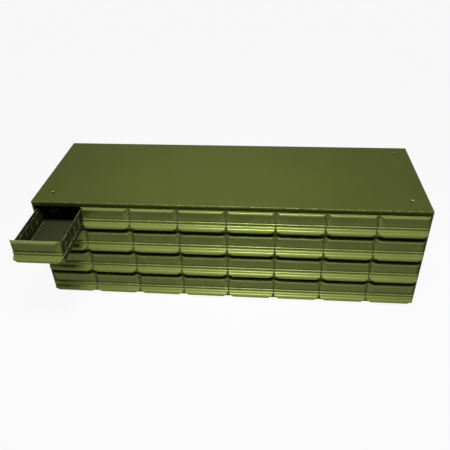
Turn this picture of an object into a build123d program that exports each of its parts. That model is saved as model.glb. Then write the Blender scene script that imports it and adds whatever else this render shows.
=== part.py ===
from build123d import *
import os

# A low, wide steel cabinet of small drawers, in rows and columns.
# Millimetres. The origin is at the centre of the casing's underside, +X is to the
# right of someone who faces the drawers, +Y runs to the back and +Z is up.

# ---------------------------------------------------------------- driving dimensions
cabinet_width = 864.0
cabinet_depth = 277.0
cabinet_height = 263.0
column_count = 8
row_count = 4

casing_sheet = 1.2
inner_sheet = 0.9
drawer_sheet = 0.9

# Casing: flanges, and the spaces it leaves round the drawers
cell_margin = 2.9
head_room = 2.6
top_flange = 5.0
weld_flange = 12.0
weld_clearance = 0.3

# Inner crate: shelves, partitions and the rail above the top row
shelf_flange = 6.5
shelf_side_flange = 10.0
rail_drop = 11.0
rail_leg = 15.0
hem_width = 3.0
hem_depth = 7.0
slot_clearance = 0.15

# Four dimpled bolt holes in the top, and four plain ones in the base
hole_radius = 3.25
hole_side_inset = 35.5
hole_front_inset = 39.0
hole_back_inset = 27.0
dimple_radius = 5.0
dimple_depth = 1.5

# Drawer tray
slide_clearance = 0.3
tray_side_gap = 2.6
tray_rear_gap = 6.0
wall_drop = 10.0
wall_hem_height = 4.0
back_headroom = 2.5
back_corner = 8.0

# Pads pressed into the tray's side walls, with a divider groove between each two
pad_pitch = 25.4
pad_length = 18.0
pad_height = 23.0
pad_depth = 1.3
pad_top_drop = 9.5
pad_end_margin = 4.0

# Drawer front: a plate with a lip along its top
stop_clearance = 0.3
front_side_gap = 1.15
front_headroom = 7.7
lip_depth = 6.3
lip_drop = 3.4
lip_bend = 2.0
lip_end_taper = 6.5

# Pull: a strip with a beaded upper edge, a ledge and an apron
ridge_height = 25.5
bead_radius = 1.5
ledge_height = 18.0
ledge_fall = 1.5
pull_depth = 12.0
pull_bottom = 8.5
pull_bend = 1.6
ledge_end_taper = 3.5
apron_end_taper = 7.5

# The drawer that stands open, counted from the top left, and how far it is pulled
open_row = 1
open_column = 1
open_distance = 120.0

# ---------------------------------------------------------------- worked-out places
front_y = -cabinet_depth / 2
back_y = cabinet_depth / 2
inner_back_y = back_y - casing_sheet
inner_half_width = cabinet_width / 2 - casing_sheet
ceiling_z = cabinet_height - casing_sheet

column_pitch = (cabinet_width - 2 * cell_margin) / column_count
row_pitch = (ceiling_z - casing_sheet - head_room) / row_count

crate_front_y = front_y + casing_sheet
crate_stop_y = crate_front_y + inner_sheet
lap_y = (crate_front_y + inner_back_y) / 2
rail_bottom_z = cabinet_height - rail_drop
partition_back_y = inner_back_y - casing_sheet - weld_clearance

tray_width = column_pitch - 2 * tray_side_gap
tray_length = inner_back_y - tray_rear_gap - front_y + stop_clearance
front_width = column_pitch - 2 * front_side_gap
front_height = row_pitch - slide_clearance - front_headroom
tray_height = front_height - wall_drop
back_height = row_pitch - slide_clearance - inner_sheet - back_headroom

plate_back_y = -stop_clearance
plate_front_y = plate_back_y - drawer_sheet
tray_back_y = plate_back_y + tray_length


def column_x(column):
    """Centre of a column of drawers, counted from 1 at the left."""
    return -cabinet_width / 2 + cell_margin + (column - 0.5) * column_pitch


def boundary_x(index):
    """Plane between a column and the next, counted from 1 at the left."""
    return -cabinet_width / 2 + cell_margin + index * column_pitch


def floor_z(row):
    """Upper face of the sheet that carries a row, counted from 1 at the top."""
    return casing_sheet + (row_count - row) * row_pitch


hole_pattern_x = cabinet_width - 2 * hole_side_inset
hole_pattern_y = cabinet_depth - hole_front_inset - hole_back_inset
hole_centre_y = (hole_front_inset - hole_back_inset) / 2

os.makedirs("parts", exist_ok=True)


# ---------------------------------------------------------------- casing
# Top: a flat sheet with its front edge turned down, and four dimpled bolt holes.
with BuildPart() as top_panel:
    with BuildSketch(Plane.XY.offset(ceiling_z)):
        Rectangle(cabinet_width, cabinet_depth)
    extrude(amount=casing_sheet)
    with BuildSketch(Plane.XY.offset(cabinet_height - top_flange)):
        with Locations((0, front_y)):
            Rectangle(cabinet_width, casing_sheet, align=(Align.CENTER, Align.MIN))
    extrude(amount=top_flange)
    front_bend = top_panel.edges().filter_by(Axis.X).group_by(Axis.Z)[-1].sort_by(Axis.Y)[0]
    fillet(front_bend, radius=casing_sheet)
    dimple_places = Plane.XY.offset(cabinet_height)
    with Locations(dimple_places):
        with Locations((0, hole_centre_y)):
            with GridLocations(hole_pattern_x, hole_pattern_y, 2, 2):
                Cone(
                    hole_radius + casing_sheet,
                    dimple_radius + casing_sheet,
                    dimple_depth + casing_sheet,
                    align=(Align.CENTER, Align.CENTER, Align.MAX),
                )
                Cone(
                    hole_radius,
                    dimple_radius,
                    dimple_depth,
                    align=(Align.CENTER, Align.CENTER, Align.MAX),
                    mode=Mode.SUBTRACT,
                )
                Hole(radius=hole_radius)
top_panel.part.label = "top_panel"
export_step(top_panel.part, "parts/top_panel.step")

# Sides: each a sheet with its front and top edges turned in.
for side_name, side in (("left_side", -1), ("right_side", 1)):
    side_x = side * inner_half_width
    outward = Align.MIN if side > 0 else Align.MAX
    inward = Align.MAX if side > 0 else Align.MIN
    with BuildPart() as side_panel:
        with BuildSketch(Plane.XY):
            with Locations((side_x, 0)):
                Rectangle(casing_sheet, cabinet_depth, align=(outward, Align.CENTER))
        extrude(amount=ceiling_z)
        with BuildSketch(Plane.XY.offset(casing_sheet)):
            with Locations((side_x, front_y)):
                Rectangle(cell_margin - casing_sheet, casing_sheet, align=(inward, Align.MIN))
        extrude(amount=cabinet_height - top_flange - casing_sheet)
        with BuildSketch(Plane.XY.offset(ceiling_z - casing_sheet)):
            with Locations((side_x, inner_back_y)):
                Rectangle(
                    weld_flange,
                    inner_back_y - crate_front_y - rail_leg - weld_clearance,
                    align=(inward, Align.MAX),
                )
        extrude(amount=casing_sheet)
        with BuildSketch(Plane.XY.offset(cabinet_height - top_flange)):
            with Locations((0, front_y)):
                Rectangle(cabinet_width, casing_sheet, align=(Align.CENTER, Align.MIN))
        extrude(amount=top_flange, mode=Mode.SUBTRACT)
    side_panel.part.label = side_name
    export_step(side_panel.part, f"parts/{side_name}.step")

# Back: a plain sheet that closes the casing between the sides.
with BuildPart() as back_panel:
    with BuildSketch(Plane.XY):
        with Locations((0, back_y)):
            Rectangle(2 * inner_half_width, casing_sheet, align=(Align.CENTER, Align.MAX))
    extrude(amount=ceiling_z)
back_panel.part.label = "back_panel"
export_step(back_panel.part, "parts/back_panel.step")

# Base: a sheet with flanges turned up along the sides and the back, where it is welded.
base_flange_length = inner_back_y - crate_front_y - weld_clearance
with BuildPart() as base_panel:
    with BuildSketch(Plane.XY):
        with Locations((0, front_y)):
            Rectangle(
                2 * inner_half_width,
                inner_back_y - front_y,
                align=(Align.CENTER, Align.MIN),
            )
    extrude(amount=casing_sheet)
    with BuildSketch(Plane.XY):
        with Locations((0, inner_back_y)):
            Rectangle(2 * inner_half_width, casing_sheet, align=(Align.CENTER, Align.MAX))
        with Locations((-inner_half_width, inner_back_y)):
            Rectangle(casing_sheet, base_flange_length, align=(Align.MIN, Align.MAX))
        with Locations((inner_half_width, inner_back_y)):
            Rectangle(casing_sheet, base_flange_length, align=(Align.MAX, Align.MAX))
    extrude(amount=weld_flange)
    with Locations((0, hole_centre_y)):
        with GridLocations(hole_pattern_x, hole_pattern_y, 2, 2):
            Hole(radius=hole_radius)
base_panel.part.label = "base_panel"
export_step(base_panel.part, "parts/base_panel.step")


# ---------------------------------------------------------------- inner crate
# Rail above the top row: an upright band behind the top's flange, and a leg under the top.
with BuildPart() as top_rail:
    with BuildSketch(Plane.XY.offset(rail_bottom_z)):
        with Locations((0, crate_front_y)):
            Rectangle(2 * inner_half_width, inner_sheet, align=(Align.CENTER, Align.MIN))
    extrude(amount=ceiling_z - rail_bottom_z)
    with BuildSketch(Plane.XY.offset(ceiling_z - inner_sheet)):
        with Locations((0, crate_front_y)):
            Rectangle(2 * inner_half_width, rail_leg, align=(Align.CENTER, Align.MIN))
    extrude(amount=inner_sheet)
top_rail.part.label = "top_rail"
export_step(top_rail.part, "parts/top_rail.step")

# Shelves: each carries a row. The front and side edges are turned down, and a slot runs
# in from the back at every partition, so that the two lap like the parts of a crate.
for index in range(1, row_count):
    shelf_z = floor_z(index)
    with BuildPart() as shelf:
        with BuildSketch(Plane.XY.offset(shelf_z - inner_sheet)):
            with Locations((0, crate_front_y)):
                Rectangle(
                    2 * inner_half_width,
                    inner_back_y - crate_front_y,
                    align=(Align.CENTER, Align.MIN),
                )
        extrude(amount=inner_sheet)
        with BuildSketch(Plane.XY.offset(shelf_z - shelf_flange)):
            with Locations((0, crate_front_y)):
                Rectangle(2 * inner_half_width, inner_sheet, align=(Align.CENTER, Align.MIN))
        extrude(amount=shelf_flange)
        with BuildSketch(Plane.XY.offset(shelf_z - shelf_side_flange)):
            with Locations((-inner_half_width, inner_back_y)):
                Rectangle(inner_sheet, inner_back_y - lap_y, align=(Align.MIN, Align.MAX))
            with Locations((inner_half_width, inner_back_y)):
                Rectangle(inner_sheet, inner_back_y - lap_y, align=(Align.MAX, Align.MAX))
        extrude(amount=shelf_side_flange)
        with BuildSketch(Plane.XY.offset(shelf_z - inner_sheet)):
            for boundary in range(1, column_count):
                with Locations((boundary_x(boundary), lap_y)):
                    Rectangle(
                        inner_sheet + 2 * slot_clearance,
                        inner_back_y - lap_y,
                        align=(Align.CENTER, Align.MIN),
                    )
        extrude(amount=inner_sheet, mode=Mode.SUBTRACT)
    shelf.part.label = f"shelf_{index}"
    export_step(shelf.part, f"parts/shelf_{index}.step")

# Partitions: full-height sheets with a hollow hem at the front, slotted from the front
# for the shelves and notched at the top for the rail.
for boundary in range(1, column_count):
    with BuildPart() as partition:
        with BuildSketch(Plane.XY.offset(casing_sheet)) as section:
            with Locations((boundary_x(boundary), crate_front_y)):
                Rectangle(hem_width, hem_depth, align=(Align.CENTER, Align.MIN))
            fillet(section.vertices().group_by(Axis.Y)[0], radius=hem_width / 3)
            with Locations((boundary_x(boundary), crate_front_y + hem_depth)):
                Rectangle(
                    inner_sheet,
                    partition_back_y - crate_front_y - hem_depth,
                    align=(Align.CENTER, Align.MIN),
                )
        extrude(amount=ceiling_z - casing_sheet)
        with BuildSketch(Plane.YZ.offset(boundary_x(boundary))):
            with Locations((crate_front_y, ceiling_z)):
                Rectangle(
                    rail_leg + weld_clearance,
                    ceiling_z - rail_bottom_z + weld_clearance,
                    align=(Align.MIN, Align.MAX),
                )
            for index in range(1, row_count):
                with Locations((crate_front_y, floor_z(index) + slot_clearance)):
                    Rectangle(
                        lap_y - crate_front_y,
                        inner_sheet + 2 * slot_clearance,
                        align=(Align.MIN, Align.MAX),
                    )
                    Rectangle(
                        inner_sheet + weld_clearance,
                        shelf_flange + slot_clearance + weld_clearance,
                        align=(Align.MIN, Align.MAX),
                    )
        extrude(amount=hem_width, both=True, mode=Mode.SUBTRACT)
    partition.part.label = f"partition_{boundary}"
    export_step(partition.part, f"parts/partition_{boundary}.step")


# ---------------------------------------------------------------- one drawer
# Its own frame: x from the centre of its column, y from the casing's front plane and
# z from the underside of the tray.

# Tray: a floor between two hemmed side walls, and a raised back that stops the drawer.
pad_count = int((tray_length - 2 * pad_end_margin) // pad_pitch)
pad_centre_y = plate_back_y + pad_end_margin + pad_count * pad_pitch / 2
pad_centre_z = tray_height - pad_top_drop - pad_height / 2
wall_inner_x = tray_width / 2 - drawer_sheet

with BuildPart() as tray_floor:
    with BuildSketch():
        with Locations((0, plate_back_y)):
            Rectangle(
                2 * wall_inner_x,
                tray_length - drawer_sheet,
                align=(Align.CENTER, Align.MIN),
            )
    extrude(amount=drawer_sheet)

with BuildPart() as tray_back:
    with BuildSketch(Plane.XZ.offset(-tray_back_y)) as back_outline:
        Rectangle(2 * wall_inner_x, back_height, align=(Align.CENTER, Align.MIN))
        chamfer(back_outline.vertices().group_by(Axis.Y)[-1], length=back_corner)
    extrude(amount=drawer_sheet)

tray_walls = []
for side in (-1, 1):
    inward = Align.MAX if side > 0 else Align.MIN
    with BuildPart() as tray_wall:
        with BuildSketch():
            with Locations((side * tray_width / 2, plate_back_y)):
                Rectangle(drawer_sheet, tray_length, align=(inward, Align.MIN))
        extrude(amount=tray_height)
        with BuildSketch(Plane.XY.offset(tray_height - wall_hem_height)):
            with Locations((side * wall_inner_x, plate_back_y)):
                Rectangle(drawer_sheet, tray_length - drawer_sheet, align=(inward, Align.MIN))
        extrude(amount=wall_hem_height)
        outer_face = Plane(
            origin=(side * tray_width / 2, pad_centre_y, pad_centre_z),
            x_dir=(0, 1, 0),
            z_dir=(-side, 0, 0),
        )
        with BuildSketch(outer_face.offset(drawer_sheet)):
            with GridLocations(pad_pitch, pad_pitch, pad_count, 1):
                Rectangle(pad_length + 2 * drawer_sheet, pad_height + 2 * drawer_sheet)
        extrude(amount=pad_depth)
        with BuildSketch(outer_face):
            with GridLocations(pad_pitch, pad_pitch, pad_count, 1):
                Rectangle(pad_length, pad_height)
        extrude(amount=pad_depth, mode=Mode.SUBTRACT)
    tray_walls.append(tray_wall)

# Front: a plate whose top edge is folded forward into a lip with a turned-down edge.
with BuildPart() as front:
    with BuildSketch(Plane.YZ):
        with BuildLine():
            FilletPolyline(
                (plate_front_y - lip_depth, front_height - lip_drop),
                (plate_front_y - lip_depth, front_height),
                (plate_back_y, front_height),
                (plate_back_y, 0),
                radius=lip_bend,
            )
            offset(amount=drawer_sheet, side=Side.RIGHT)
        make_face()
    extrude(amount=front_width / 2, both=True)
    with BuildSketch(Plane.XY.offset(front_height - lip_drop - lip_bend)):
        for side in (-1, 1):
            with BuildLine():
                Polyline(
                    (side * front_width / 2, plate_front_y),
                    (side * (front_width / 2 - lip_end_taper), plate_front_y - lip_depth),
                    (side * (front_width / 2 - lip_end_taper), plate_front_y - 2 * lip_depth),
                    (side * front_width, plate_front_y - 2 * lip_depth),
                    (side * front_width, plate_front_y),
                    close=True,
                )
            make_face()
    extrude(amount=lip_drop + 2 * lip_bend, mode=Mode.SUBTRACT)

# Pull: a strip welded to the plate, beaded along its top, with tapered ends.
apron_back_y = plate_front_y - pull_depth + drawer_sheet
with BuildPart() as pull:
    with BuildSketch(Plane.YZ):
        with BuildLine():
            FilletPolyline(
                (plate_front_y, ridge_height),
                (plate_front_y, ledge_height - drawer_sheet),
                (apron_back_y, ledge_height - ledge_fall - drawer_sheet),
                (apron_back_y, pull_bottom),
                radius=pull_bend,
            )
            offset(amount=drawer_sheet, side=Side.RIGHT)
        make_face()
        with Locations((plate_front_y - bead_radius, ridge_height)):
            Circle(bead_radius)
    extrude(amount=front_width / 2, both=True)
    with BuildSketch(Plane.XY):
        for side in (-1, 1):
            with BuildLine():
                Polyline(
                    (side * front_width / 2, plate_front_y - 2 * bead_radius),
                    (side * (front_width / 2 - ledge_end_taper), plate_front_y - pull_depth),
                    (side * (front_width / 2 - ledge_end_taper), plate_front_y - 2 * pull_depth),
                    (side * front_width, plate_front_y - 2 * pull_depth),
                    (side * front_width, plate_front_y - 2 * bead_radius),
                    close=True,
                )
            make_face()
    extrude(amount=ridge_height + 2 * bead_radius, mode=Mode.SUBTRACT)
    apron_half_width = front_width / 2 - ledge_end_taper
    with BuildSketch(Plane.XZ.offset(-apron_back_y + pull_bend)):
        for side in (-1, 1):
            with BuildLine():
                Polyline(
                    (side * apron_half_width, ledge_height - ledge_fall),
                    (side * (apron_half_width - apron_end_taper), pull_bottom),
                    (side * front_width, pull_bottom),
                    (side * front_width, ledge_height - ledge_fall),
                    close=True,
                )
            make_face()
    extrude(amount=pull_depth, mode=Mode.SUBTRACT)


# ---------------------------------------------------------------- the drawers
drawer_pieces = [tray_floor, tray_back, *tray_walls, front, pull]
for row in range(1, row_count + 1):
    for column in range(1, column_count + 1):
        is_open = row == open_row and column == open_column
        drawer_y = front_y - (open_distance if is_open else 0)
        place = Location((column_x(column), drawer_y, floor_z(row) + slide_clearance))
        label = f"drawer_{row}_{column}"
        pieces = [piece.part.moved(place) for piece in drawer_pieces]
        drawer = Compound(label=label, children=pieces)
        export_step(drawer, f"parts/{label}.step")
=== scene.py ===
import math

import bmesh
import bpy
from bpy.props import FloatProperty, FloatVectorProperty, IntProperty, PointerProperty
from mathutils import Matrix, Vector


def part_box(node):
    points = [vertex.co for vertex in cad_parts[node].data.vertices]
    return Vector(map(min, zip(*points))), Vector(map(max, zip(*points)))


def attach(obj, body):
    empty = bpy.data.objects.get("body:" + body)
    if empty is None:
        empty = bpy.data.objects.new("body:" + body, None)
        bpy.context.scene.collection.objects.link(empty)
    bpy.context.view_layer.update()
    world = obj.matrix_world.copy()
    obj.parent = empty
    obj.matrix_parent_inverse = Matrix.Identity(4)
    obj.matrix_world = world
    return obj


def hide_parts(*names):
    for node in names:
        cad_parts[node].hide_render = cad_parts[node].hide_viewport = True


bl_info = {
    "name": "Small-drawer cabinet",
    "version": (1, 0, 0),
    "blender": (4, 5, 0),
    "location": "View3D > Sidebar > Cabinet",
    "description": "Builds and paints a low steel cabinet of small drawers on its CAD frame",
    "category": "Add Mesh",
}

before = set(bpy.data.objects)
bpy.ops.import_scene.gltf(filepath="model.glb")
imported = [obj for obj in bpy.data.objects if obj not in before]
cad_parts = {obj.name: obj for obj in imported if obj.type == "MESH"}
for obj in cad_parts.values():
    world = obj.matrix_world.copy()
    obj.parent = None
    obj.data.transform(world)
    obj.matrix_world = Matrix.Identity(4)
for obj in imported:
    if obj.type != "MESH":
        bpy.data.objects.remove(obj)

MM = 0.001
DRAWERS = sorted(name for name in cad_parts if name.startswith("drawer_"))
CASING = ["top_panel", "left_side", "right_side", "back_panel", "base_panel"]
CRATE = sorted(
    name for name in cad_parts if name.startswith(("top_rail", "shelf_", "partition_"))
)
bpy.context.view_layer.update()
DRAWER_LOW, DRAWER_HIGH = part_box(DRAWERS[-1])

# How sheets are smoothed and where they wear.
EDGE_ANGLE = math.radians(32)  # edges that turn by more than this are rounded
EDGE_STEPS = 2  # faces across each rounding
FLAT_ANGLE = math.radians(0.6)  # triangles that turn by less than this are one face
MERGE_DISTANCE = 0.001 * MM
EDGE_FACE = 0.6 * MM  # faces narrower than this belong to a rounded edge
SQUARE_ON = 0.9995  # a normal with a part over this lies along an axis
HEM_FOLD = 0.95  # radius of a flat hem's bends, as a share of the sheet's thickness
PAD_LINES = 4.0  # lines across the tray's wall for each pad
TRAY_BEND_STEPS = 3
BACK_BEND_STEPS = 4
BACK_LINES = 5

# The bead along the pull: points round its back, top and front, in degrees from the rear.
BEAD_START = 20
BEAD_STEP = 22
BEAD_POINTS = 11
BEAD_FOOT = 1.05  # how far below its centre the bead meets the strip, in radii

# Scales of the noise in the enamel: the larger, the finer.
CLOUD_SCALE = 4.5  # slow changes of tone and gloss
SPECK_SCALE = 55.0
DUST_SCALE = 16.0
RUB_AND_HIGHLIGHT_SCALE = 95.0
SWELL_SCALE = 7.0  # waves of the sheet itself
PEEL_SCALE = 420.0  # the sprayed paint's orange peel
SCRATCH_STRETCH = (38.0, 900.0, 900.0)  # long across the cabinet and fine the other ways

# The part of each noise that shows, from where it begins to where it is full.
TONE_BAND = (0.35, 0.65)
GLOSS_BAND = (0.30, 0.70)
SPECK_BAND = (0.45, 0.75)
DUST_BAND = (0.38, 0.72)
RUB_AND_HIGHLIGHT_BAND = (0.42, 0.66)
SCRATCH_BAND = (0.70, 0.76)
UPWARD_BAND = (0.55, 0.98)  # of the upward part of a face's normal, for dust to lie on it

# How the enamel's colour changes: shares of its own colour, and how much of each shows.
DEEP_TONE = 0.94
PALE_TONE = 1.05
SPECK_TONE = 0.80
SCRATCH_TONE = 1.45
SPECK_MOST = 0.12
SCRATCH_MOST = 0.22
DUST_LEAST = 0.25  # share of the dust that lies between its patches

# How the enamel's gloss changes.
CLOUD_MATT = 0.06  # range of roughness that the slow changes give
DUST_MATT = 0.45  # roughness that full dust adds
RUB_MATT = -0.10  # roughness that rubbing takes away
PEEL_STRENGTH = 0.35
PEEL_HEIGHT = 0.05 * MM
SHEEN_TINT = (0.86, 0.95, 0.52, 1.0)

# Each enamel: its surface, the dust on it, the waves of its sheet and the rub on its edges, whose
# lighter colour is also a painted highlight on bends and edges.
FINISHES = {
    "casing": {
        "roughness": 0.42,
        "metal": 0.30,
        "gloss": 0.03,
        "dust_amount": 0.04,
        "ripple": 0.3 * MM,
        "rub_and_highlight_amount": 0.5,
    },
    "crate": {
        "roughness": 0.45,
        "metal": 0.20,
        "gloss": 0.03,
        "dust_amount": 0.03,
        "ripple": 0.1 * MM,
        "rub_and_highlight_amount": 0.4,
    },
    "drawer": {
        "roughness": 0.28,
        "metal": 0.18,
        "gloss": 0.20,
        "dust_amount": 0.03,
        "ripple": 0.10 * MM,
        "rub_and_highlight_amount": 0.6,
    },
    "tray": {
        "roughness": 0.42,
        "metal": 0.15,
        "gloss": 0.03,
        "dust_amount": 0.06,
        "ripple": 0.15 * MM,
        "rub_and_highlight_amount": 0.6,
    },
}

# The stage, in metres and degrees. The camera stands where the photo was taken from, as the
# cabinet's edges in it tell.
FLOOR_REACH = 8.0
FLOOR_MATT = 0.9
FLOOR_GLOSS = 0.1
LIT_MIDDLE = (0.03, -0.10, 0.16)
KEY_PLACE = (0.06, -0.62, 1.70)
KEY_SIZE = (0.5, 0.35)
KEY_SPREAD = 65
SHEEN_PLACE = (-0.30, 1.35, 1.25)
SHEEN_SIZE = (0.9, 0.4)
SHEEN_TARGET = (-0.1, 0, 0.26)
STRIP_PLACE = (0.12, -2.20, 0.45)
STRIP_SIZE = (0.8, 0.15)
CAMERA_PLACE = (0.0903, -0.9885, 0.8606)
CAMERA_YAW = 5.7641
CAMERA_PITCH = -33.2794
CAMERA_ROLL = 1.8034
CAMERA_SHIFT = (-0.0052, -0.0728)
CAMERA_RANGE = (0.05, 50.0)
SENSOR_WIDTH = 36.0


# ---------------------------------------------------------------- sizes and colours
def length(name, description, default):
    """A size, as a setting of the sidebar."""
    return FloatProperty(
        name=name, description=description, default=default, min=0.0, subtype="DISTANCE"
    )


def tint(name, description, default):
    """A colour, as a setting of the sidebar."""
    return FloatVectorProperty(
        name=name, description=description, default=default, min=0.0, max=1.0, subtype="COLOR"
    )


def power(name, description, default):
    """The strength of a light, as a setting of the sidebar."""
    return FloatProperty(name=name, description=description, default=default, min=0.0)


def whole(name, description, default, least, most):
    """A number of things, as a setting of the sidebar."""
    return IntProperty(name=name, description=description, default=default, min=least, max=most)


class CasingSizes(bpy.types.PropertyGroup):
    """Sizes of the casing's and the crate's sheets that the frame doesn't give."""

    edge_round: length(
        "Edge rounding", "Width of the rounding on every cut edge of the casing", 0.4 * MM
    )
    crate_edge_round: length(
        "Crate edge rounding",
        "Width of the rounding on the shelves, the partitions and the rail",
        0.25 * MM,
    )


class DrawerSizes(bpy.types.PropertyGroup):
    """Sizes of one drawer, from the plane of the casing's front and the tray's underside."""

    sheet: length("Sheet", "Thickness of the drawer's sheet steel", 0.9 * MM)
    gap: length("Stop gap", "Space between the front's rear face and the casing", 0.3 * MM)
    width: length(
        "Front width", "Width of the front from end to end", DRAWER_HIGH.x - DRAWER_LOW.x
    )
    height: length("Front height", "Height of the front up to the face of its lip", 56.5 * MM)
    lip_depth: length("Lip depth", "How far the lip stands out in front of the plate", 6.3 * MM)
    lip_drop: length("Lip drop", "Height of the lip's turned-down edge", 3.4 * MM)
    lip_bend: length("Lip bend", "Outer radius of the bends of the lip", 2.0 * MM)
    lip_taper: length(
        "Lip taper", "How much each end of the lip is set back at its front", 6.5 * MM
    )
    pull_depth: length(
        "Pull depth", "How far the pull stands out in front of the plate", 12.0 * MM
    )
    ridge_height: length("Ridge height", "Height of the bead along the top of the pull", 25.5 * MM)
    bead: length("Bead", "Radius of the bead along the top of the pull", 1.5 * MM)
    ledge_height: length("Ledge height", "Height of the pull's ledge at the plate", 18.0 * MM)
    ledge_fall: length("Ledge fall", "How much the ledge falls towards its front", 1.5 * MM)
    pull_bottom: length("Apron bottom", "Height of the lower edge of the pull's apron", 8.5 * MM)
    root_bend: length(
        "Root bend", "Radius of the hollow between the strip and the ledge", 4.0 * MM
    )
    nose_bend: length(
        "Nose bend", "Outer radius of the bend between the ledge and the apron", 5.5 * MM
    )
    ledge_taper: length(
        "Ledge taper", "How much each end of the ledge is set back at its front", 2.4 * MM
    )
    apron_taper: length(
        "Apron taper", "How much each end of the apron is set back at its lower edge", 8.6 * MM
    )
    edge_round: length(
        "Edge rounding", "Width of the rounding on the cut edges of the drawer's sheets", 0.22 * MM
    )
    bend_steps: whole("Bend steps", "Points added round each bend", 5, 1, 16)
    columns: whole("Columns", "Lines across the width of a folded sheet", 9, 2, 64)


class TraySizes(bpy.types.PropertyGroup):
    """Sizes of the tray, whose side walls are pressed into pads with grooves between."""

    width: length("Width", "Width of the tray over its side walls", 102.075 * MM)
    height: length("Wall height", "Height of the side walls", 46.5 * MM)
    back_height: length(
        "Back height",
        "Height of the raised back that stops the drawer",
        DRAWER_HIGH.z - DRAWER_LOW.z,
    )
    back_corner: length("Back corner", "Size of the cut corners of the raised back", 8.0 * MM)
    hem_height: length(
        "Hem height", "Height of the hem folded inwards along the top of each wall", 4.0 * MM
    )
    bend: length(
        "Floor bend", "Outer radius of the bends between the floor and the walls", 1.6 * MM
    )
    pad_count: whole("Pads", "Number of pads pressed into each side wall", 10, 1, 40)
    pad_pitch: length("Pad pitch", "Distance from one divider groove to the next", 25.4 * MM)
    pad_length: length("Pad length", "Length of the flat of each pad", 18.0 * MM)
    pad_height: length("Pad height", "Height of the flat of each pad", 23.0 * MM)
    pad_depth: length("Pad depth", "How far each pad is pressed inwards", 1.3 * MM)
    pad_slope: length("Pad slope", "Width of the slope round each pad", 0.9 * MM)
    pad_drop: length("Pad drop", "Distance from the top of the wall down to the pads", 9.5 * MM)
    pad_margin: length(
        "Pad margin", "Distance from the front's rear face to the first pitch of pads", 4.0 * MM
    )


class PaintColours(bpy.types.PropertyGroup):
    """Colours of the enamel. The casing and the drawers are one enamel, painted darker on the
    casing and lighter on the drawers as painted shade and painted light; the trays' is painted
    darker still as painted shade.
    """

    # Painted shade: darker than the drawers' colour of the same enamel, because the top takes the
    # steep key more fully.
    casing: tint("Casing", "Enamel of the casing", (0.057, 0.069, 0.013))
    crate: tint(
        "Crate", "Enamel of the shelves, the partitions and the rail", (0.038, 0.046, 0.012)
    )
    # Painted light: lighter than the casing's colour of the same enamel, for the fronts that the
    # steep key only glances.
    drawer: tint("Drawer", "Enamel of the fronts and the pulls", (0.150, 0.182, 0.041))
    # Painted shade: the trays' enamel is painted darker for the little light that gets into a
    # tray.
    tray: tint("Tray", "Enamel of the trays", (0.034, 0.040, 0.016))
    dust: tint("Dust", "Colour of the dust that lies on upward faces", (0.20, 0.20, 0.13))
    # Painted highlight: this lighter colour stands for rubbed enamel and also for the light caught
    # by bends, edges and the pads' slopes.
    rub_and_highlight: tint(
        "Rubbed edge",
        "Colour of the enamel where edges and bends are rubbed thin",
        (0.34, 0.39, 0.13),
    )


class StageSettings(bpy.types.PropertyGroup):
    """The camera and the light."""

    lens: FloatProperty(
        name="Lens",
        description="Focal length in millimetres for a sensor 36 mm wide",
        default=39.118,
        min=1.0,
    )
    floor_colour: tint("Floor", "Colour of the floor where light falls on it", (0.50, 0.50, 0.50))
    floor_glow: FloatProperty(
        name="Floor white",
        description="Share of plain white that the camera sees in the floor",
        default=0.93,
        min=0.0,
        max=1.0,
        subtype="FACTOR",
    )
    key_power: power("Key light", "Power of the large lamp above and in front, in watts", 5.6)
    sheen_power: power(
        "Sheen light", "Power of the lamp behind that lays a sheen on the top, in watts", 1.5
    )
    strip_power: power(
        "Strip light",
        "Power of the long low lamp in front that draws lines on the bends, in watts",
        4.2,
    )
    fill: power("Fill", "Strength of the even light from all round", 0.08)


# ---------------------------------------------------------------- node helpers
def add_node(tree, kind, **settings):
    """A new node with its properties set."""
    node = tree.nodes.new(kind)
    for name, value in settings.items():
        setattr(node, name, value)
    return node


def feed(tree, socket, value):
    """Sets a socket to a value, or links it when the value is itself a socket."""
    if isinstance(value, bpy.types.NodeSocket):
        tree.links.new(value, socket)
    elif isinstance(value, (tuple, list)) and len(value) == 3 and len(socket.default_value) == 4:
        socket.default_value = (*value, 1.0)
    else:
        socket.default_value = value


def calc(tree, operation, first, second=0.0, third=0.0):
    """The result of a math node."""
    node = add_node(tree, "ShaderNodeMath", operation=operation)
    for socket, value in zip(node.inputs, (first, second, third)):
        feed(tree, socket, value)
    return node.outputs[0]


def remap(tree, value, low, high, to_low=0.0, to_high=1.0):
    """A value carried from one range to another and kept inside it."""
    node = add_node(tree, "ShaderNodeMapRange", clamp=True)
    for name, given in (
        ("Value", value),
        ("From Min", low),
        ("From Max", high),
        ("To Min", to_low),
        ("To Max", to_high),
    ):
        feed(tree, node.inputs[name], given)
    return node.outputs["Result"]


def new_tree(name, inputs):
    """A geometry tree with named inputs."""
    tree = bpy.data.node_groups.new(name, "GeometryNodeTree")
    tree.interface.new_socket("Geometry", in_out="INPUT", socket_type="NodeSocketGeometry")
    for label, kind in inputs:
        tree.interface.new_socket(label, in_out="INPUT", socket_type=kind)
    tree.interface.new_socket("Geometry", in_out="OUTPUT", socket_type="NodeSocketGeometry")
    return tree


def end_tree(tree, given, geometry):
    """Smooth faces, real geometry and the material, as the last nodes of a tree."""
    smooth = add_node(tree, "GeometryNodeSetShadeSmooth")
    feed(tree, smooth.inputs["Geometry"], geometry)
    real = add_node(tree, "GeometryNodeRealizeInstances")
    feed(tree, real.inputs["Geometry"], smooth.outputs["Geometry"])
    paint = add_node(tree, "GeometryNodeSetMaterial")
    feed(tree, paint.inputs["Geometry"], real.outputs["Geometry"])
    feed(tree, paint.inputs["Material"], given["Material"])
    output = add_node(tree, "NodeGroupOutput")
    feed(tree, output.inputs["Geometry"], paint.outputs["Geometry"])


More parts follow.
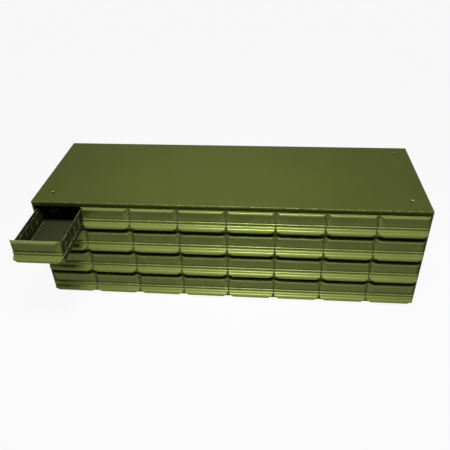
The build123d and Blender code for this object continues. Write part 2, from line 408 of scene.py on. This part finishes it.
def swept_rows(tree, section, lines):
    """A grid with one copy of the section's points for each line, and, for each point of it,
    the number of its line and its place in the section."""
    size = add_node(tree, "GeometryNodeAttributeDomainSize", component="CURVE")
    feed(tree, size.inputs[0], section)
    rows = size.outputs["Point Count"]
    grid = add_node(tree, "GeometryNodeMeshGrid")
    feed(tree, grid.inputs["Vertices X"], lines)
    feed(tree, grid.inputs["Vertices Y"], rows)
    index = add_node(tree, "GeometryNodeInputIndex").outputs[0]
    row = calc(tree, "MODULO", index, rows)
    line = calc(tree, "FLOOR", calc(tree, "DIVIDE", calc(tree, "ADD", index, 0.5), rows))
    sample = add_node(
        tree, "GeometryNodeSampleIndex", data_type="FLOAT_VECTOR", domain="POINT"
    )
    feed(tree, sample.inputs["Geometry"], section)
    feed(tree, sample.inputs["Value"], add_node(tree, "GeometryNodeInputPosition").outputs[0])
    feed(tree, sample.inputs["Index"], row)
    place = add_node(tree, "ShaderNodeSeparateXYZ")
    feed(tree, place.inputs[0], sample.outputs[0])
    flip = add_node(tree, "GeometryNodeFlipFaces")
    feed(tree, flip.inputs["Mesh"], grid.outputs["Mesh"])
    return flip.outputs["Mesh"], line, place.outputs


def rounded_section(tree, given):
    """The outline with its corners rounded by the radius kept at each of its points."""
    curve = add_node(tree, "GeometryNodeMeshToCurve")
    feed(tree, curve.inputs["Mesh"], given["Geometry"])
    radius = add_node(tree, "GeometryNodeInputNamedAttribute", data_type="FLOAT")
    radius.inputs["Name"].default_value = "bend"
    fillet = add_node(tree, "GeometryNodeFilletCurve", mode="POLY")
    feed(tree, fillet.inputs["Curve"], curve.outputs[0])
    feed(tree, fillet.inputs["Count"], given["Bend Steps"])
    feed(tree, fillet.inputs["Radius"], radius.outputs["Attribute"])
    return fillet.outputs["Curve"]


def place_points(tree, mesh, x, y, z):
    """The mesh with its points moved to a worked-out place."""
    place = add_node(tree, "ShaderNodeCombineXYZ")
    for socket, value in zip(place.inputs, (x, y, z)):
        feed(tree, socket, value)
    move = add_node(tree, "GeometryNodeSetPosition")
    feed(tree, move.inputs["Geometry"], mesh)
    feed(tree, move.inputs["Position"], place.outputs[0])
    return move.outputs["Geometry"]


def folded_sheet_tree():
    """Sheet folded along the cabinet's width, with ends cut back by depth and by height."""
    number = "NodeSocketFloat"
    tree = new_tree(
        "folded_sheet",
        (
            ("Bend Steps", "NodeSocketInt"),
            ("Lines", "NodeSocketInt"),
            ("Width", number),
            ("Taper From Depth", number),
            ("Taper To Depth", number),
            ("Depth Taper", number),
            ("Taper From Height", number),
            ("Taper To Height", number),
            ("Height Taper", number),
            ("Material", "NodeSocketMaterial"),
        ),
    )
    given = add_node(tree, "NodeGroupInput").outputs
    section = rounded_section(tree, given)
    grid, line, place = swept_rows(tree, section, given["Lines"])
    # Each taper grows evenly between two places. Inputs that are left at 0 give no taper.
    by_depth = remap(
        tree,
        place["Y"],
        given["Taper From Depth"],
        given["Taper To Depth"],
        0.0,
        given["Depth Taper"],
    )
    by_height = remap(
        tree,
        place["Z"],
        given["Taper From Height"],
        given["Taper To Height"],
        0.0,
        given["Height Taper"],
    )
    half = calc(tree, "MULTIPLY", given["Width"], 0.5)
    half = calc(tree, "SUBTRACT", calc(tree, "SUBTRACT", half, by_depth), by_height)
    last = calc(tree, "SUBTRACT", given["Lines"], 1.0)
    across = calc(tree, "MULTIPLY_ADD", calc(tree, "DIVIDE", line, last), 2.0, -1.0)
    x = calc(tree, "MULTIPLY", across, half)
    end_tree(tree, given, place_points(tree, grid, x, place["Y"], place["Z"]))
    return tree


def pressed_tray_tree():
    """Trough folded along the drawer's length, with a row of pads pressed into each wall."""
    number = "NodeSocketFloat"
    tree = new_tree(
        "pressed_tray",
        (
            ("Bend Steps", "NodeSocketInt"),
            ("Front", number),
            ("Back", number),
            ("Pads", "NodeSocketInt"),
            ("First Pad", number),
            ("Pad Pitch", number),
            ("Pad Length", number),
            ("Pad Slope", number),
            ("Pad Depth", number),
            ("Pad Bottom", number),
            ("Pad Top", number),
            ("Material", "NodeSocketMaterial"),
        ),
    )
    given = add_node(tree, "NodeGroupInput").outputs
    section = rounded_section(tree, given)
    lines = calc(tree, "MULTIPLY_ADD", given["Pads"], PAD_LINES, 2.0)
    grid, line, place = swept_rows(tree, section, lines)

    # Each pad has four lines: its slope begins at the first, its flat lies between the second
    # and the third, and its slope ends at the fourth. One more line closes each end.
    step = calc(tree, "SUBTRACT", line, 1.0)
    pad = calc(tree, "FLOOR", calc(tree, "DIVIDE", calc(tree, "ADD", step, 0.1), PAD_LINES))
    phase = calc(tree, "SUBTRACT", step, calc(tree, "MULTIPLY", pad, PAD_LINES))
    far_side = calc(tree, "GREATER_THAN", phase, 1.5)
    side = calc(tree, "MULTIPLY_ADD", far_side, 2.0, -1.0)
    off_middle = calc(tree, "ABSOLUTE", calc(tree, "SUBTRACT", phase, 1.5))
    outer = calc(tree, "GREATER_THAN", off_middle, 1.0)
    reach = calc(tree, "MULTIPLY", given["Pad Length"], 0.5)
    reach = calc(tree, "MULTIPLY_ADD", outer, given["Pad Slope"], reach)
    centre = calc(tree, "MULTIPLY_ADD", pad, given["Pad Pitch"], given["First Pad"])
    along = calc(tree, "MULTIPLY_ADD", side, reach, centre)

    is_front = calc(tree, "LESS_THAN", line, 0.5)
    is_back = calc(tree, "GREATER_THAN", line, calc(tree, "SUBTRACT", lines, 1.5))
    at_end = calc(tree, "ADD", is_front, is_back)
    between = calc(tree, "SUBTRACT", 1.0, at_end)
    y = calc(tree, "MULTIPLY", along, between)
    y = calc(tree, "MULTIPLY_ADD", is_front, given["Front"], y)
    y = calc(tree, "MULTIPLY_ADD", is_back, given["Back"], y)

    slack = calc(tree, "MULTIPLY", given["Pad Slope"], 0.25)
    above = calc(
        tree, "GREATER_THAN", place["Z"], calc(tree, "SUBTRACT", given["Pad Bottom"], slack)
    )
    below = calc(tree, "LESS_THAN", place["Z"], calc(tree, "ADD", given["Pad Top"], slack))
    inner = calc(tree, "SUBTRACT", 1.0, outer)
    pressed = calc(tree, "MULTIPLY", calc(tree, "MULTIPLY", above, below), inner)
    pressed = calc(tree, "MULTIPLY", pressed, between)
    depth = calc(tree, "MULTIPLY", pressed, given["Pad Depth"])
    sign = calc(tree, "SIGN", place["X"])
    x = calc(tree, "SUBTRACT", place["X"], calc(tree, "MULTIPLY", sign, depth))
    end_tree(tree, given, place_points(tree, grid, x, y, place["Z"]))
    return tree


# ---------------------------------------------------------------- shaping helpers
def outline(name, corners):
    """An object whose mesh is an open line of points, each with the radius of its bend."""
    mesh = bpy.data.meshes.new(name)
    points = [corner[:3] for corner in corners]
    edges = [(step, step + 1) for step in range(len(points) - 1)]
    mesh.from_pydata(points, edges, [])
    bends = mesh.attributes.new("bend", "FLOAT", "POINT")
    bends.data.foreach_set("value", [corner[3] for corner in corners])
    shape = bpy.data.objects.new(name, mesh)
    bpy.context.scene.collection.objects.link(shape)
    return shape


def run_tree(shape, tree, values):
    """Puts a geometry tree on an object, with its inputs set by their identifiers."""
    modifier = shape.modifiers.new("Shape", "NODES")
    modifier.node_group = tree
    known = {
        item.name: item.identifier
        for item in tree.interface.items_tree
        if item.item_type == "SOCKET" and item.in_out == "INPUT"
    }
    for name, value in values.items():
        modifier[known[name]] = value


def add_thickness(shape, thickness):
    """Gives a folded face the sheet's thickness on its inner side."""
    sheet = shape.modifiers.new("Sheet", "SOLIDIFY")
    sheet.thickness = thickness
    sheet.offset = -1.0
    sheet.use_even_offset = True


def add_rounding(shape, width):
    """Rounds the cut edges and keeps the flats flat."""
    bevel = shape.modifiers.new("Rounding", "BEVEL")
    bevel.width = width
    bevel.segments = EDGE_STEPS
    bevel.limit_method = "ANGLE"
    bevel.angle_limit = EDGE_ANGLE
    bevel.use_clamp_overlap = True
    shape.modifiers.new("Flats", "WEIGHTED_NORMAL")


def baked_mesh(shape, name, narrow=EDGE_FACE):
    """The evaluated object as one plain mesh, with its narrow faces marked for wear and for a
    painted highlight.
    """
    depsgraph = bpy.context.evaluated_depsgraph_get()
    mesh = bpy.data.meshes.new_from_object(shape.evaluated_get(depsgraph), depsgraph=depsgraph)
    mesh.name = name
    shape.modifiers.clear()
    bpy.data.objects.remove(shape)
    if not mesh.polygons:
        raise RuntimeError(f"{name} came out with no faces")
    mark_wear_and_highlight(mesh, narrow)
    return mesh


def mark_wear_and_highlight(mesh, narrow):
    """Marks narrow slanting faces, those of bends and rounded edges, to be painted lighter: partly
    rubbed thin, partly a painted highlight.
    """
    wear = mesh.attributes.new("wear", "FLOAT", "FACE")
    marks = []
    for face in mesh.polygons:
        corners = [mesh.vertices[index].co for index in face.vertices]
        round_about = sum(
            (corners[step] - corners[step - 1]).length for step in range(len(corners))
        )
        bent = max(abs(part) for part in face.normal) < SQUARE_ON
        marks.append(1.0 if bent and 2 * face.area < narrow * round_about else 0.0)
    wear.data.foreach_set("value", marks)


def folded_piece(name, corners, values, sizes):
    """A sheet folded along the width, with its thickness and its rounded edges."""
    shape = outline(name, corners)
    run_tree(shape, TREES["folded_sheet"], values)
    add_thickness(shape, sizes.sheet)
    add_rounding(shape, sizes.edge_round)
    return baked_mesh(shape, name)


def softened_copy(node, edge_round, paint):
    """A node's own shape with its triangles merged and its edges rounded."""
    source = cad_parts[node].data
    mesh = bpy.data.meshes.new(node + "_sheet")
    shell = bmesh.new()
    shell.from_mesh(source)
    bmesh.ops.remove_doubles(shell, verts=shell.verts, dist=MERGE_DISTANCE)
    bmesh.ops.dissolve_limit(
        shell,
        angle_limit=FLAT_ANGLE,
        verts=shell.verts,
        edges=shell.edges,
        delimit={"NORMAL"},
    )
    for face in shell.faces:
        face.smooth = True
        face.material_index = 0
    shell.to_mesh(mesh)
    shell.free()
    mesh.materials.clear()
    mesh.materials.append(paint)
    shape = bpy.data.objects.new(node + "_shape", mesh)
    bpy.context.scene.collection.objects.link(shape)
    add_rounding(shape, edge_round)
    return baked_mesh(shape, node + "_sheet")


def new_piece(name, mesh, body, node):
    """An object at the origin that rides on a body and stands for a node."""
    piece = bpy.data.objects.new(name, mesh)
    bpy.context.scene.collection.objects.link(piece)
    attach(piece, body)
    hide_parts(node)
    return piece


def drawer_place(node, sizes):
    """Where a drawer's own frame lies in the cabinet: midway across the drawer, behind its
    front by the stop gap, and at its underside."""
    low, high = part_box(node)
    stop = low.y + sizes.gap + sizes.sheet + sizes.pull_depth
    return Vector(((low.x + high.x) / 2, stop, low.z))


def dress_drawers(mesh, part):
    """One copy of a mesh for every drawer, each in its place."""
    sizes = bpy.context.scene.cabinet_drawer
    for node in DRAWERS:
        own = mesh.copy()
        own.name = f"{part}_mesh"
        own.transform(Matrix.Translation(drawer_place(node, sizes)))
        new_piece(node.replace("drawer", part), own, node, node)
    bpy.data.meshes.remove(mesh)


# ---------------------------------------------------------------- enamel
def noise(tree, coords, scale, detail=2.0, roughness=0.5, stretch=None):
    """The value of a noise texture on the object's own coordinates."""
    if stretch:
        mapping = add_node(tree, "ShaderNodeMapping")
        feed(tree, mapping.inputs["Vector"], coords)
        mapping.inputs["Scale"].default_value = stretch
        coords = mapping.outputs["Vector"]
    node = add_node(tree, "ShaderNodeTexNoise")
    feed(tree, node.inputs["Vector"], coords)
    node.inputs["Scale"].default_value = scale
    node.inputs["Detail"].default_value = detail
    node.inputs["Roughness"].default_value = roughness
    return node.outputs[0]


def blend_colour(tree, factor, first, second):
    """A colour between two others."""
    node = add_node(tree, "ShaderNodeMix", data_type="RGBA")
    feed(tree, node.inputs[0], factor)
    feed(tree, node.inputs[6], first)
    feed(tree, node.inputs[7], second)
    return node.outputs[2]


def shade(colour, factor):
    """A colour made lighter or darker."""
    return tuple(channel * factor for channel in colour)


def bumped(tree, height, strength, distance, normal=None):
    """The normal of a surface raised by a height, on top of an earlier bump if one is given."""
    node = add_node(tree, "ShaderNodeBump")
    node.inputs["Strength"].default_value = strength
    node.inputs["Distance"].default_value = distance
    feed(tree, node.inputs["Height"], height)
    if normal is not None:
        feed(tree, node.inputs["Normal"], normal)
    return node.outputs["Normal"]


def sprayed_tone(tree, coords, clouds, colour):
    """The enamel's colour with slow changes of tone and darker specks."""
    tone = remap(tree, clouds, *TONE_BAND)
    shaded = blend_colour(tree, tone, shade(colour, DEEP_TONE), shade(colour, PALE_TONE))
    fine = noise(tree, coords, SPECK_SCALE, detail=5.0, roughness=0.6)
    speck = remap(tree, fine, *SPECK_BAND, 0.0, SPECK_MOST)
    return blend_colour(tree, speck, shaded, shade(colour, SPECK_TONE))


def dust_cover(tree, coords, dust_amount):
    """How much dust lies at each point: patches, and only on upward faces."""
    normal = add_node(tree, "ShaderNodeSeparateXYZ")
    feed(tree, normal.inputs[0], add_node(tree, "ShaderNodeNewGeometry").outputs["Normal"])
    upward = remap(tree, normal.outputs["Z"], *UPWARD_BAND)
    patches = noise(tree, coords, DUST_SCALE, detail=6.0, roughness=0.62)
    settled = remap(tree, patches, *DUST_BAND)
    dust = calc(tree, "MULTIPLY", upward, remap(tree, settled, 0.0, 1.0, DUST_LEAST, 1.0))
    return calc(tree, "MULTIPLY", dust, dust_amount)


def rub_and_highlight_edges(tree, coords, rub_and_highlight_amount):
    """How far the enamel is painted lighter, in patches on the marked faces: partly rubbed thin,
    partly a painted highlight on bends and edges.
    """
    marked = add_node(tree, "ShaderNodeAttribute", attribute_name="wear")
    patches = noise(tree, coords, RUB_AND_HIGHLIGHT_SCALE, detail=4.0, roughness=0.65)
    rub_and_highlight = calc(tree, "MULTIPLY", marked.outputs["Fac"], remap(tree, patches, *RUB_AND_HIGHLIGHT_BAND))
    return calc(tree, "MULTIPLY", rub_and_highlight, rub_and_highlight_amount)


def hairlines(tree, coords):
    """Faint scratches that run across the cabinet."""
    drawn = noise(tree, coords, 1.0, detail=3.0, stretch=SCRATCH_STRETCH)
    return remap(tree, drawn, *SCRATCH_BAND, 0.0, SCRATCH_MOST)


def enamel(name, colour, roughness, metal, gloss, dust_amount, ripple, rub_and_highlight_amount):
    """Satin enamel sprayed on folded sheet, with orange peel, dust, and rubbed edges that also
    carry a painted highlight.
    """
    colours = bpy.context.scene.cabinet_paint
    paint = bpy.data.materials.new(name)
    paint.use_nodes = True
    tree = paint.node_tree
    surface = tree.nodes["Principled BSDF"]
    coords = add_node(tree, "ShaderNodeTexCoord").outputs["Object"]
    clouds = noise(tree, coords, CLOUD_SCALE, detail=3.0)
    dusty = dust_cover(tree, coords, dust_amount)
    rub_and_highlight = rub_and_highlight_edges(tree, coords, rub_and_highlight_amount)

    shaded = sprayed_tone(tree, coords, clouds, colour)
    shaded = blend_colour(tree, dusty, shaded, tuple(colours.dust))
    # Painted highlight: narrow bends and edges take the lighter colour, partly as rubbed enamel.
    shaded = blend_colour(tree, rub_and_highlight, shaded, tuple(colours.rub_and_highlight))
    scratched = shade(colour, SCRATCH_TONE)
    shaded = blend_colour(tree, hairlines(tree, coords), shaded, scratched)
    feed(tree, surface.inputs["Base Color"], shaded)

    cloudy = remap(tree, clouds, *GLOSS_BAND)
    matt = calc(tree, "MULTIPLY_ADD", cloudy, CLOUD_MATT, roughness - CLOUD_MATT / 2)
    matt = calc(tree, "MULTIPLY_ADD", dusty, DUST_MATT, matt)
    matt = calc(tree, "MULTIPLY_ADD", rub_and_highlight, RUB_MATT, matt)
    feed(tree, surface.inputs["Roughness"], matt)
    surface.inputs["Metallic"].default_value = metal
    surface.inputs["Specular IOR Level"].default_value = gloss
    surface.inputs["Specular Tint"].default_value = SHEEN_TINT

    swell = bumped(tree, noise(tree, coords, SWELL_SCALE, detail=1.0), 1.0, ripple)
    peel = noise(tree, coords, PEEL_SCALE, detail=2.0)
    feed(tree, surface.inputs["Normal"], bumped(tree, peel, PEEL_STRENGTH, PEEL_HEIGHT, swell))
    return paint


TREES = {}
PAINTS = {}


def prepare():
    """Makes the geometry trees and the enamels once, when the first piece needs them."""
    if TREES:
        return
    colours = bpy.context.scene.cabinet_paint
    TREES["folded_sheet"] = folded_sheet_tree()
    TREES["pressed_tray"] = pressed_tray_tree()
    for name, finish in FINISHES.items():
        PAINTS[name] = enamel(name + "_enamel", tuple(getattr(colours, name)), **finish)


# ---------------------------------------------------------------- pieces
def tray_ends(sizes):
    """Where a tray starts and ends along the drawer's own depth."""
    return -sizes.gap, DRAWER_HIGH.y - drawer_place(DRAWERS[-1], sizes).y


def trough_mesh(sizes, tray):
    """The tray's floor and its two walls, one folded sheet with pads pressed into it."""
    front, back = tray_ends(sizes)
    half = tray.width / 2
    hem = half - 2 * sizes.sheet
    fold = HEM_FOLD * sizes.sheet
    pad_top = tray.height - tray.pad_drop
    pad_bottom = pad_top - tray.pad_height
    wall = [
        (hem, 0.0, tray.height - tray.hem_height, 0.0),
        (hem, 0.0, tray.height, fold),
        (half, 0.0, tray.height, fold),
        (half, 0.0, pad_top + tray.pad_slope, 0.0),
        (half, 0.0, pad_top, 0.0),
        (half, 0.0, pad_bottom, 0.0),
        (half, 0.0, pad_bottom - tray.pad_slope, 0.0),
        (half, 0.0, 0.0, tray.bend),
    ]
    other = [(-x, y, z, bend) for x, y, z, bend in reversed(wall)]
    values = {
        "Bend Steps": TRAY_BEND_STEPS,
        "Front": front,
        "Back": back - 2 * tray.bend,
        "Pads": tray.pad_count,
        "First Pad": front + tray.pad_margin + tray.pad_pitch / 2,
        "Pad Pitch": tray.pad_pitch,
        "Pad Length": tray.pad_length,
        "Pad Slope": tray.pad_slope,
        "Pad Depth": tray.pad_depth,
        "Pad Bottom": pad_bottom,
        "Pad Top": pad_top,
        "Material": PAINTS["tray"],
    }
    shape = outline("tray", wall + other)
    run_tree(shape, TREES["pressed_tray"], values)
    add_thickness(shape, sizes.sheet)
    add_rounding(shape, sizes.edge_round)
    # The pads' slopes count as narrow here, so they take the painted highlight that stands for the
    # light the slopes catch.
    return baked_mesh(shape, "tray", 2 * tray.pad_slope)


def raised_back_mesh(sizes, tray):
    """The tray's raised back, folded up from its floor, with its top corners cut off."""
    back = tray_ends(sizes)[1]
    shoulder = tray.back_height - tray.back_corner
    corners = [
        (0.0, back - 2 * tray.bend, 0.0, 0.0),
        (0.0, back, 0.0, tray.bend),
        (0.0, back, shoulder, 0.0),
        (0.0, back, tray.back_height, 0.0),
    ]
    values = {
        "Bend Steps": BACK_BEND_STEPS,
        "Lines": BACK_LINES,
        "Width": tray.width - 2 * sizes.sheet,
        "Taper From Height": shoulder,
        "Taper To Height": tray.back_height,
        "Height Taper": tray.back_corner,
        "Material": PAINTS["tray"],
    }
    return folded_piece("tray_back", corners, values, sizes)


def front_mesh(sizes):
    """A drawer's front: a plate folded forward into a lip with a turned-down edge."""
    rear = -sizes.gap
    face = rear - sizes.sheet
    nose = face - sizes.lip_depth
    corners = [
        (0.0, nose, sizes.height - sizes.lip_drop, 0.0),
        (0.0, nose, sizes.height, sizes.lip_bend),
        (0.0, rear, sizes.height, sizes.lip_bend),
        (0.0, rear, 0.0, 0.0),
    ]
    values = {
        "Bend Steps": sizes.bend_steps,
        "Lines": sizes.columns,
        "Width": sizes.width,
        "Taper From Depth": face,
        "Taper To Depth": nose,
        "Depth Taper": sizes.lip_taper,
        "Material": PAINTS["drawer"],
    }
    return folded_piece("front", corners, values, sizes)


def pull_mesh(sizes):
    """A drawer's pull: a bead, a strip on the plate, a ledge and an apron, in one sheet."""
    face = -sizes.gap - sizes.sheet
    strip = face - sizes.sheet
    nose = face - sizes.pull_depth
    ledge_front = sizes.ledge_height - sizes.ledge_fall
    turns = [math.radians(BEAD_START + BEAD_STEP * step) for step in range(BEAD_POINTS)]
    corners = [
        (
            0.0,
            face - sizes.bead + sizes.bead * math.cos(turn),
            sizes.ridge_height + sizes.bead * math.sin(turn),
            0.0,
        )
        for turn in turns
    ]
    corners += [
        (0.0, strip, sizes.ridge_height - BEAD_FOOT * sizes.bead, 0.0),
        (0.0, strip, sizes.ledge_height, sizes.root_bend),
        (0.0, nose, ledge_front, sizes.nose_bend),
        (0.0, nose, sizes.pull_bottom, 0.0),
    ]
    values = {
        "Bend Steps": sizes.bend_steps,
        "Lines": sizes.columns,
        "Width": sizes.width,
        "Taper From Depth": face - 2 * sizes.bead,
        "Taper To Depth": nose,
        "Depth Taper": sizes.ledge_taper,
        "Taper From Height": ledge_front - sizes.nose_bend / 3,
        "Taper To Height": sizes.pull_bottom,
        "Height Taper": sizes.apron_taper,
        "Material": PAINTS["drawer"],
    }
    return folded_piece("pull", corners, values, sizes)


class CABINET_OT_casing(bpy.types.Operator):
    """Build the top, the sides, the back and the base from the frame's sheets"""

    bl_idname = "cabinet.casing"
    bl_label = "Build casing"

    def execute(self, context):
        prepare()
        sizes = context.scene.cabinet_casing
        for node in CASING:
            mesh = softened_copy(node, sizes.edge_round, PAINTS["casing"])
            new_piece(node + "_sheet", mesh, "casing", node)
        return {"FINISHED"}


class CABINET_OT_crate(bpy.types.Operator):
    """Build the rail, the shelves and the partitions from the frame's sheets"""

    bl_idname = "cabinet.crate"
    bl_label = "Build crate"

    def execute(self, context):
        prepare()
        sizes = context.scene.cabinet_casing
        for node in CRATE:
            mesh = softened_copy(node, sizes.crate_edge_round, PAINTS["crate"])
            new_piece(node + "_sheet", mesh, "casing", node)
        return {"FINISHED"}


class CABINET_OT_trays(bpy.types.Operator):
    """Build each drawer's tray, with pads pressed into its walls, and its raised back"""

    bl_idname = "cabinet.trays"
    bl_label = "Build trays"

    def execute(self, context):
        prepare()
        sizes, tray = context.scene.cabinet_drawer, context.scene.cabinet_tray
        dress_drawers(trough_mesh(sizes, tray), "tray")
        dress_drawers(raised_back_mesh(sizes, tray), "tray_back")
        return {"FINISHED"}


class CABINET_OT_fronts(bpy.types.Operator):
    """Build each drawer's front, a plate folded forward into a lip along its top"""

    bl_idname = "cabinet.fronts"
    bl_label = "Build fronts"

    def execute(self, context):
        prepare()
        dress_drawers(front_mesh(context.scene.cabinet_drawer), "front")
        return {"FINISHED"}


class CABINET_OT_pulls(bpy.types.Operator):
    """Build each drawer's pull, a beaded strip with a ledge and an apron"""

    bl_idname = "cabinet.pulls"
    bl_label = "Build pulls"

    def execute(self, context):
        prepare()
        dress_drawers(pull_mesh(context.scene.cabinet_drawer), "pull")
        return {"FINISHED"}


# ---------------------------------------------------------------- stage
def plain_seen(tree):
    """1 for rays from the camera and for rays that glossy or clear surfaces send out."""
    path = add_node(tree, "ShaderNodeLightPath").outputs
    seen = calc(tree, "MAXIMUM", path["Is Camera Ray"], path["Is Glossy Ray"])
    return calc(tree, "MAXIMUM", seen, path["Is Transmission Ray"])


def aim(thing, target):
    """Turns a lamp to face a point."""
    towards = Vector(target) - thing.location
    thing.rotation_euler = towards.to_track_quat("-Z", "Y").to_euler()


def add_lamp(name, watts, size, place, target, spread=180):
    """A soft lamp that shines at a point, with its spread in degrees."""
    lamp = bpy.data.lights.new(name, "AREA")
    lamp.energy = watts
    lamp.shape = "RECTANGLE"
    lamp.size, lamp.size_y = size
    lamp.spread = math.radians(spread)
    holder = bpy.data.objects.new(name, lamp)
    holder.location = place
    aim(holder, target)
    bpy.context.scene.collection.objects.link(holder)


def floor_paper(settings):
    """A matt floor that takes the cabinet's shadow, and that the camera sees nearly white."""
    paper = bpy.data.materials.new("pale_floor")
    paper.use_nodes = True
    tree = paper.node_tree
    matt = tree.nodes["Principled BSDF"]
    matt.inputs["Base Color"].default_value = (*settings.floor_colour, 1.0)
    matt.inputs["Roughness"].default_value = FLOOR_MATT
    matt.inputs["Specular IOR Level"].default_value = FLOOR_GLOSS
    glow = add_node(tree, "ShaderNodeEmission")
    mixed = add_node(tree, "ShaderNodeMixShader")
    share = calc(tree, "MULTIPLY", plain_seen(tree), settings.floor_glow)
    feed(tree, mixed.inputs[0], share)
    tree.links.new(matt.outputs[0], mixed.inputs[1])
    tree.links.new(glow.outputs[0], mixed.inputs[2])
    tree.links.new(mixed.outputs[0], tree.nodes["Material Output"].inputs["Surface"])
    return paper


def lay_floor(settings):
    """A wide flat floor under the cabinet."""
    mesh = bpy.data.meshes.new("floor")
    sides = ((-1, -1), (1, -1), (1, 1), (-1, 1))
    corners = [(x * FLOOR_REACH, y * FLOOR_REACH, 0) for x, y in sides]
    mesh.from_pydata(corners, [], [(0, 1, 2, 3)])
    floor = bpy.data.objects.new("floor", mesh)
    bpy.context.scene.collection.objects.link(floor)
    mesh.materials.append(floor_paper(settings))


def light_room(settings):
    """Surroundings that look plain white and light the cabinet only faintly."""
    world = bpy.data.worlds.new("studio")
    bpy.context.scene.world = world
    world.use_nodes = True
    tree = world.node_tree
    sky = tree.nodes["Background"]
    strength = remap(tree, plain_seen(tree), 0.0, 1.0, settings.fill, 1.0)
    sky.inputs["Color"].default_value = (1.0, 1.0, 1.0, 1.0)
    feed(tree, sky.inputs["Strength"], strength)


def place_camera(settings):
    """The point from which the photo was taken, with the photo's lens."""
    lens = bpy.data.cameras.new("camera")
    lens.sensor_width = SENSOR_WIDTH
    lens.lens = settings.lens
    lens.shift_x, lens.shift_y = CAMERA_SHIFT
    lens.clip_start, lens.clip_end = CAMERA_RANGE
    turn = (
        Matrix.Rotation(math.radians(CAMERA_YAW), 3, "Z")
        @ Matrix.Rotation(math.radians(CAMERA_PITCH), 3, "X")
        @ Matrix.Rotation(math.radians(CAMERA_ROLL), 3, "Y")
    )
    right, forward, up = turn.col[0], turn.col[1], turn.col[2]
    pose = Matrix((right, up, -forward)).transposed().to_4x4()
    pose.translation = Vector(CAMERA_PLACE)
    camera = bpy.data.objects.new("camera", lens)
    bpy.context.scene.collection.objects.link(camera)
    camera.matrix_world = pose
    bpy.context.scene.camera = camera


class CABINET_OT_stage(bpy.types.Operator):
    """Set up the floor, the light and the camera"""

    bl_idname = "cabinet.stage"
    bl_label = "Set the stage"

    def execute(self, context):
        settings = context.scene.cabinet_stage
        context.scene.view_settings.view_transform = "Standard"
        lay_floor(settings)
        light_room(settings)
        add_lamp("key", settings.key_power, KEY_SIZE, KEY_PLACE, LIT_MIDDLE, KEY_SPREAD)
        add_lamp("sheen", settings.sheen_power, SHEEN_SIZE, SHEEN_PLACE, SHEEN_TARGET)
        add_lamp("strip", settings.strip_power, STRIP_SIZE, STRIP_PLACE, LIT_MIDDLE)
        place_camera(settings)
        return {"FINISHED"}


class CABINET_PT_sidebar(bpy.types.Panel):
    """Sizes, colours and steps of the cabinet"""

    bl_idname = "CABINET_PT_sidebar"
    bl_label = "Small-drawer cabinet"
    bl_space_type = "VIEW_3D"
    bl_region_type = "UI"
    bl_category = "Cabinet"

    def draw(self, context):
        for title, group, steps in STEPS:
            box = self.layout.box()
            box.label(text=title)
            settings = getattr(context.scene, group)
            for name in settings.__annotations__:
                box.prop(settings, name)
            for step in steps:
                box.operator(step)


STEPS = (
    ("Paint", "cabinet_paint", ()),
    ("Casing", "cabinet_casing", ("cabinet.casing", "cabinet.crate")),
    ("Tray", "cabinet_tray", ("cabinet.trays",)),
    ("Drawer", "cabinet_drawer", ("cabinet.fronts", "cabinet.pulls")),
    ("Stage", "cabinet_stage", ("cabinet.stage",)),
)
GROUPS = (
    ("cabinet_casing", CasingSizes),
    ("cabinet_drawer", DrawerSizes),
    ("cabinet_tray", TraySizes),
    ("cabinet_paint", PaintColours),
    ("cabinet_stage", StageSettings),
)
CLASSES = (
    CABINET_OT_casing,
    CABINET_OT_crate,
    CABINET_OT_trays,
    CABINET_OT_fronts,
    CABINET_OT_pulls,
    CABINET_OT_stage,
    CABINET_PT_sidebar,
)


def register():
    for name, group in GROUPS:
        bpy.utils.register_class(group)
        setattr(bpy.types.Scene, name, PointerProperty(type=group))
    for item in CLASSES:
        bpy.utils.register_class(item)


def unregister():
    for item in reversed(CLASSES):
        bpy.utils.unregister_class(item)
    for name, group in reversed(GROUPS):
        delattr(bpy.types.Scene, name)
        bpy.utils.unregister_class(group)


def main():
    register()
    bpy.ops.cabinet.stage()
    bpy.ops.cabinet.casing()
    bpy.ops.cabinet.crate()
    bpy.ops.cabinet.trays()
    bpy.ops.cabinet.fronts()
    bpy.ops.cabinet.pulls()


if __name__ == "__main__":
    main()
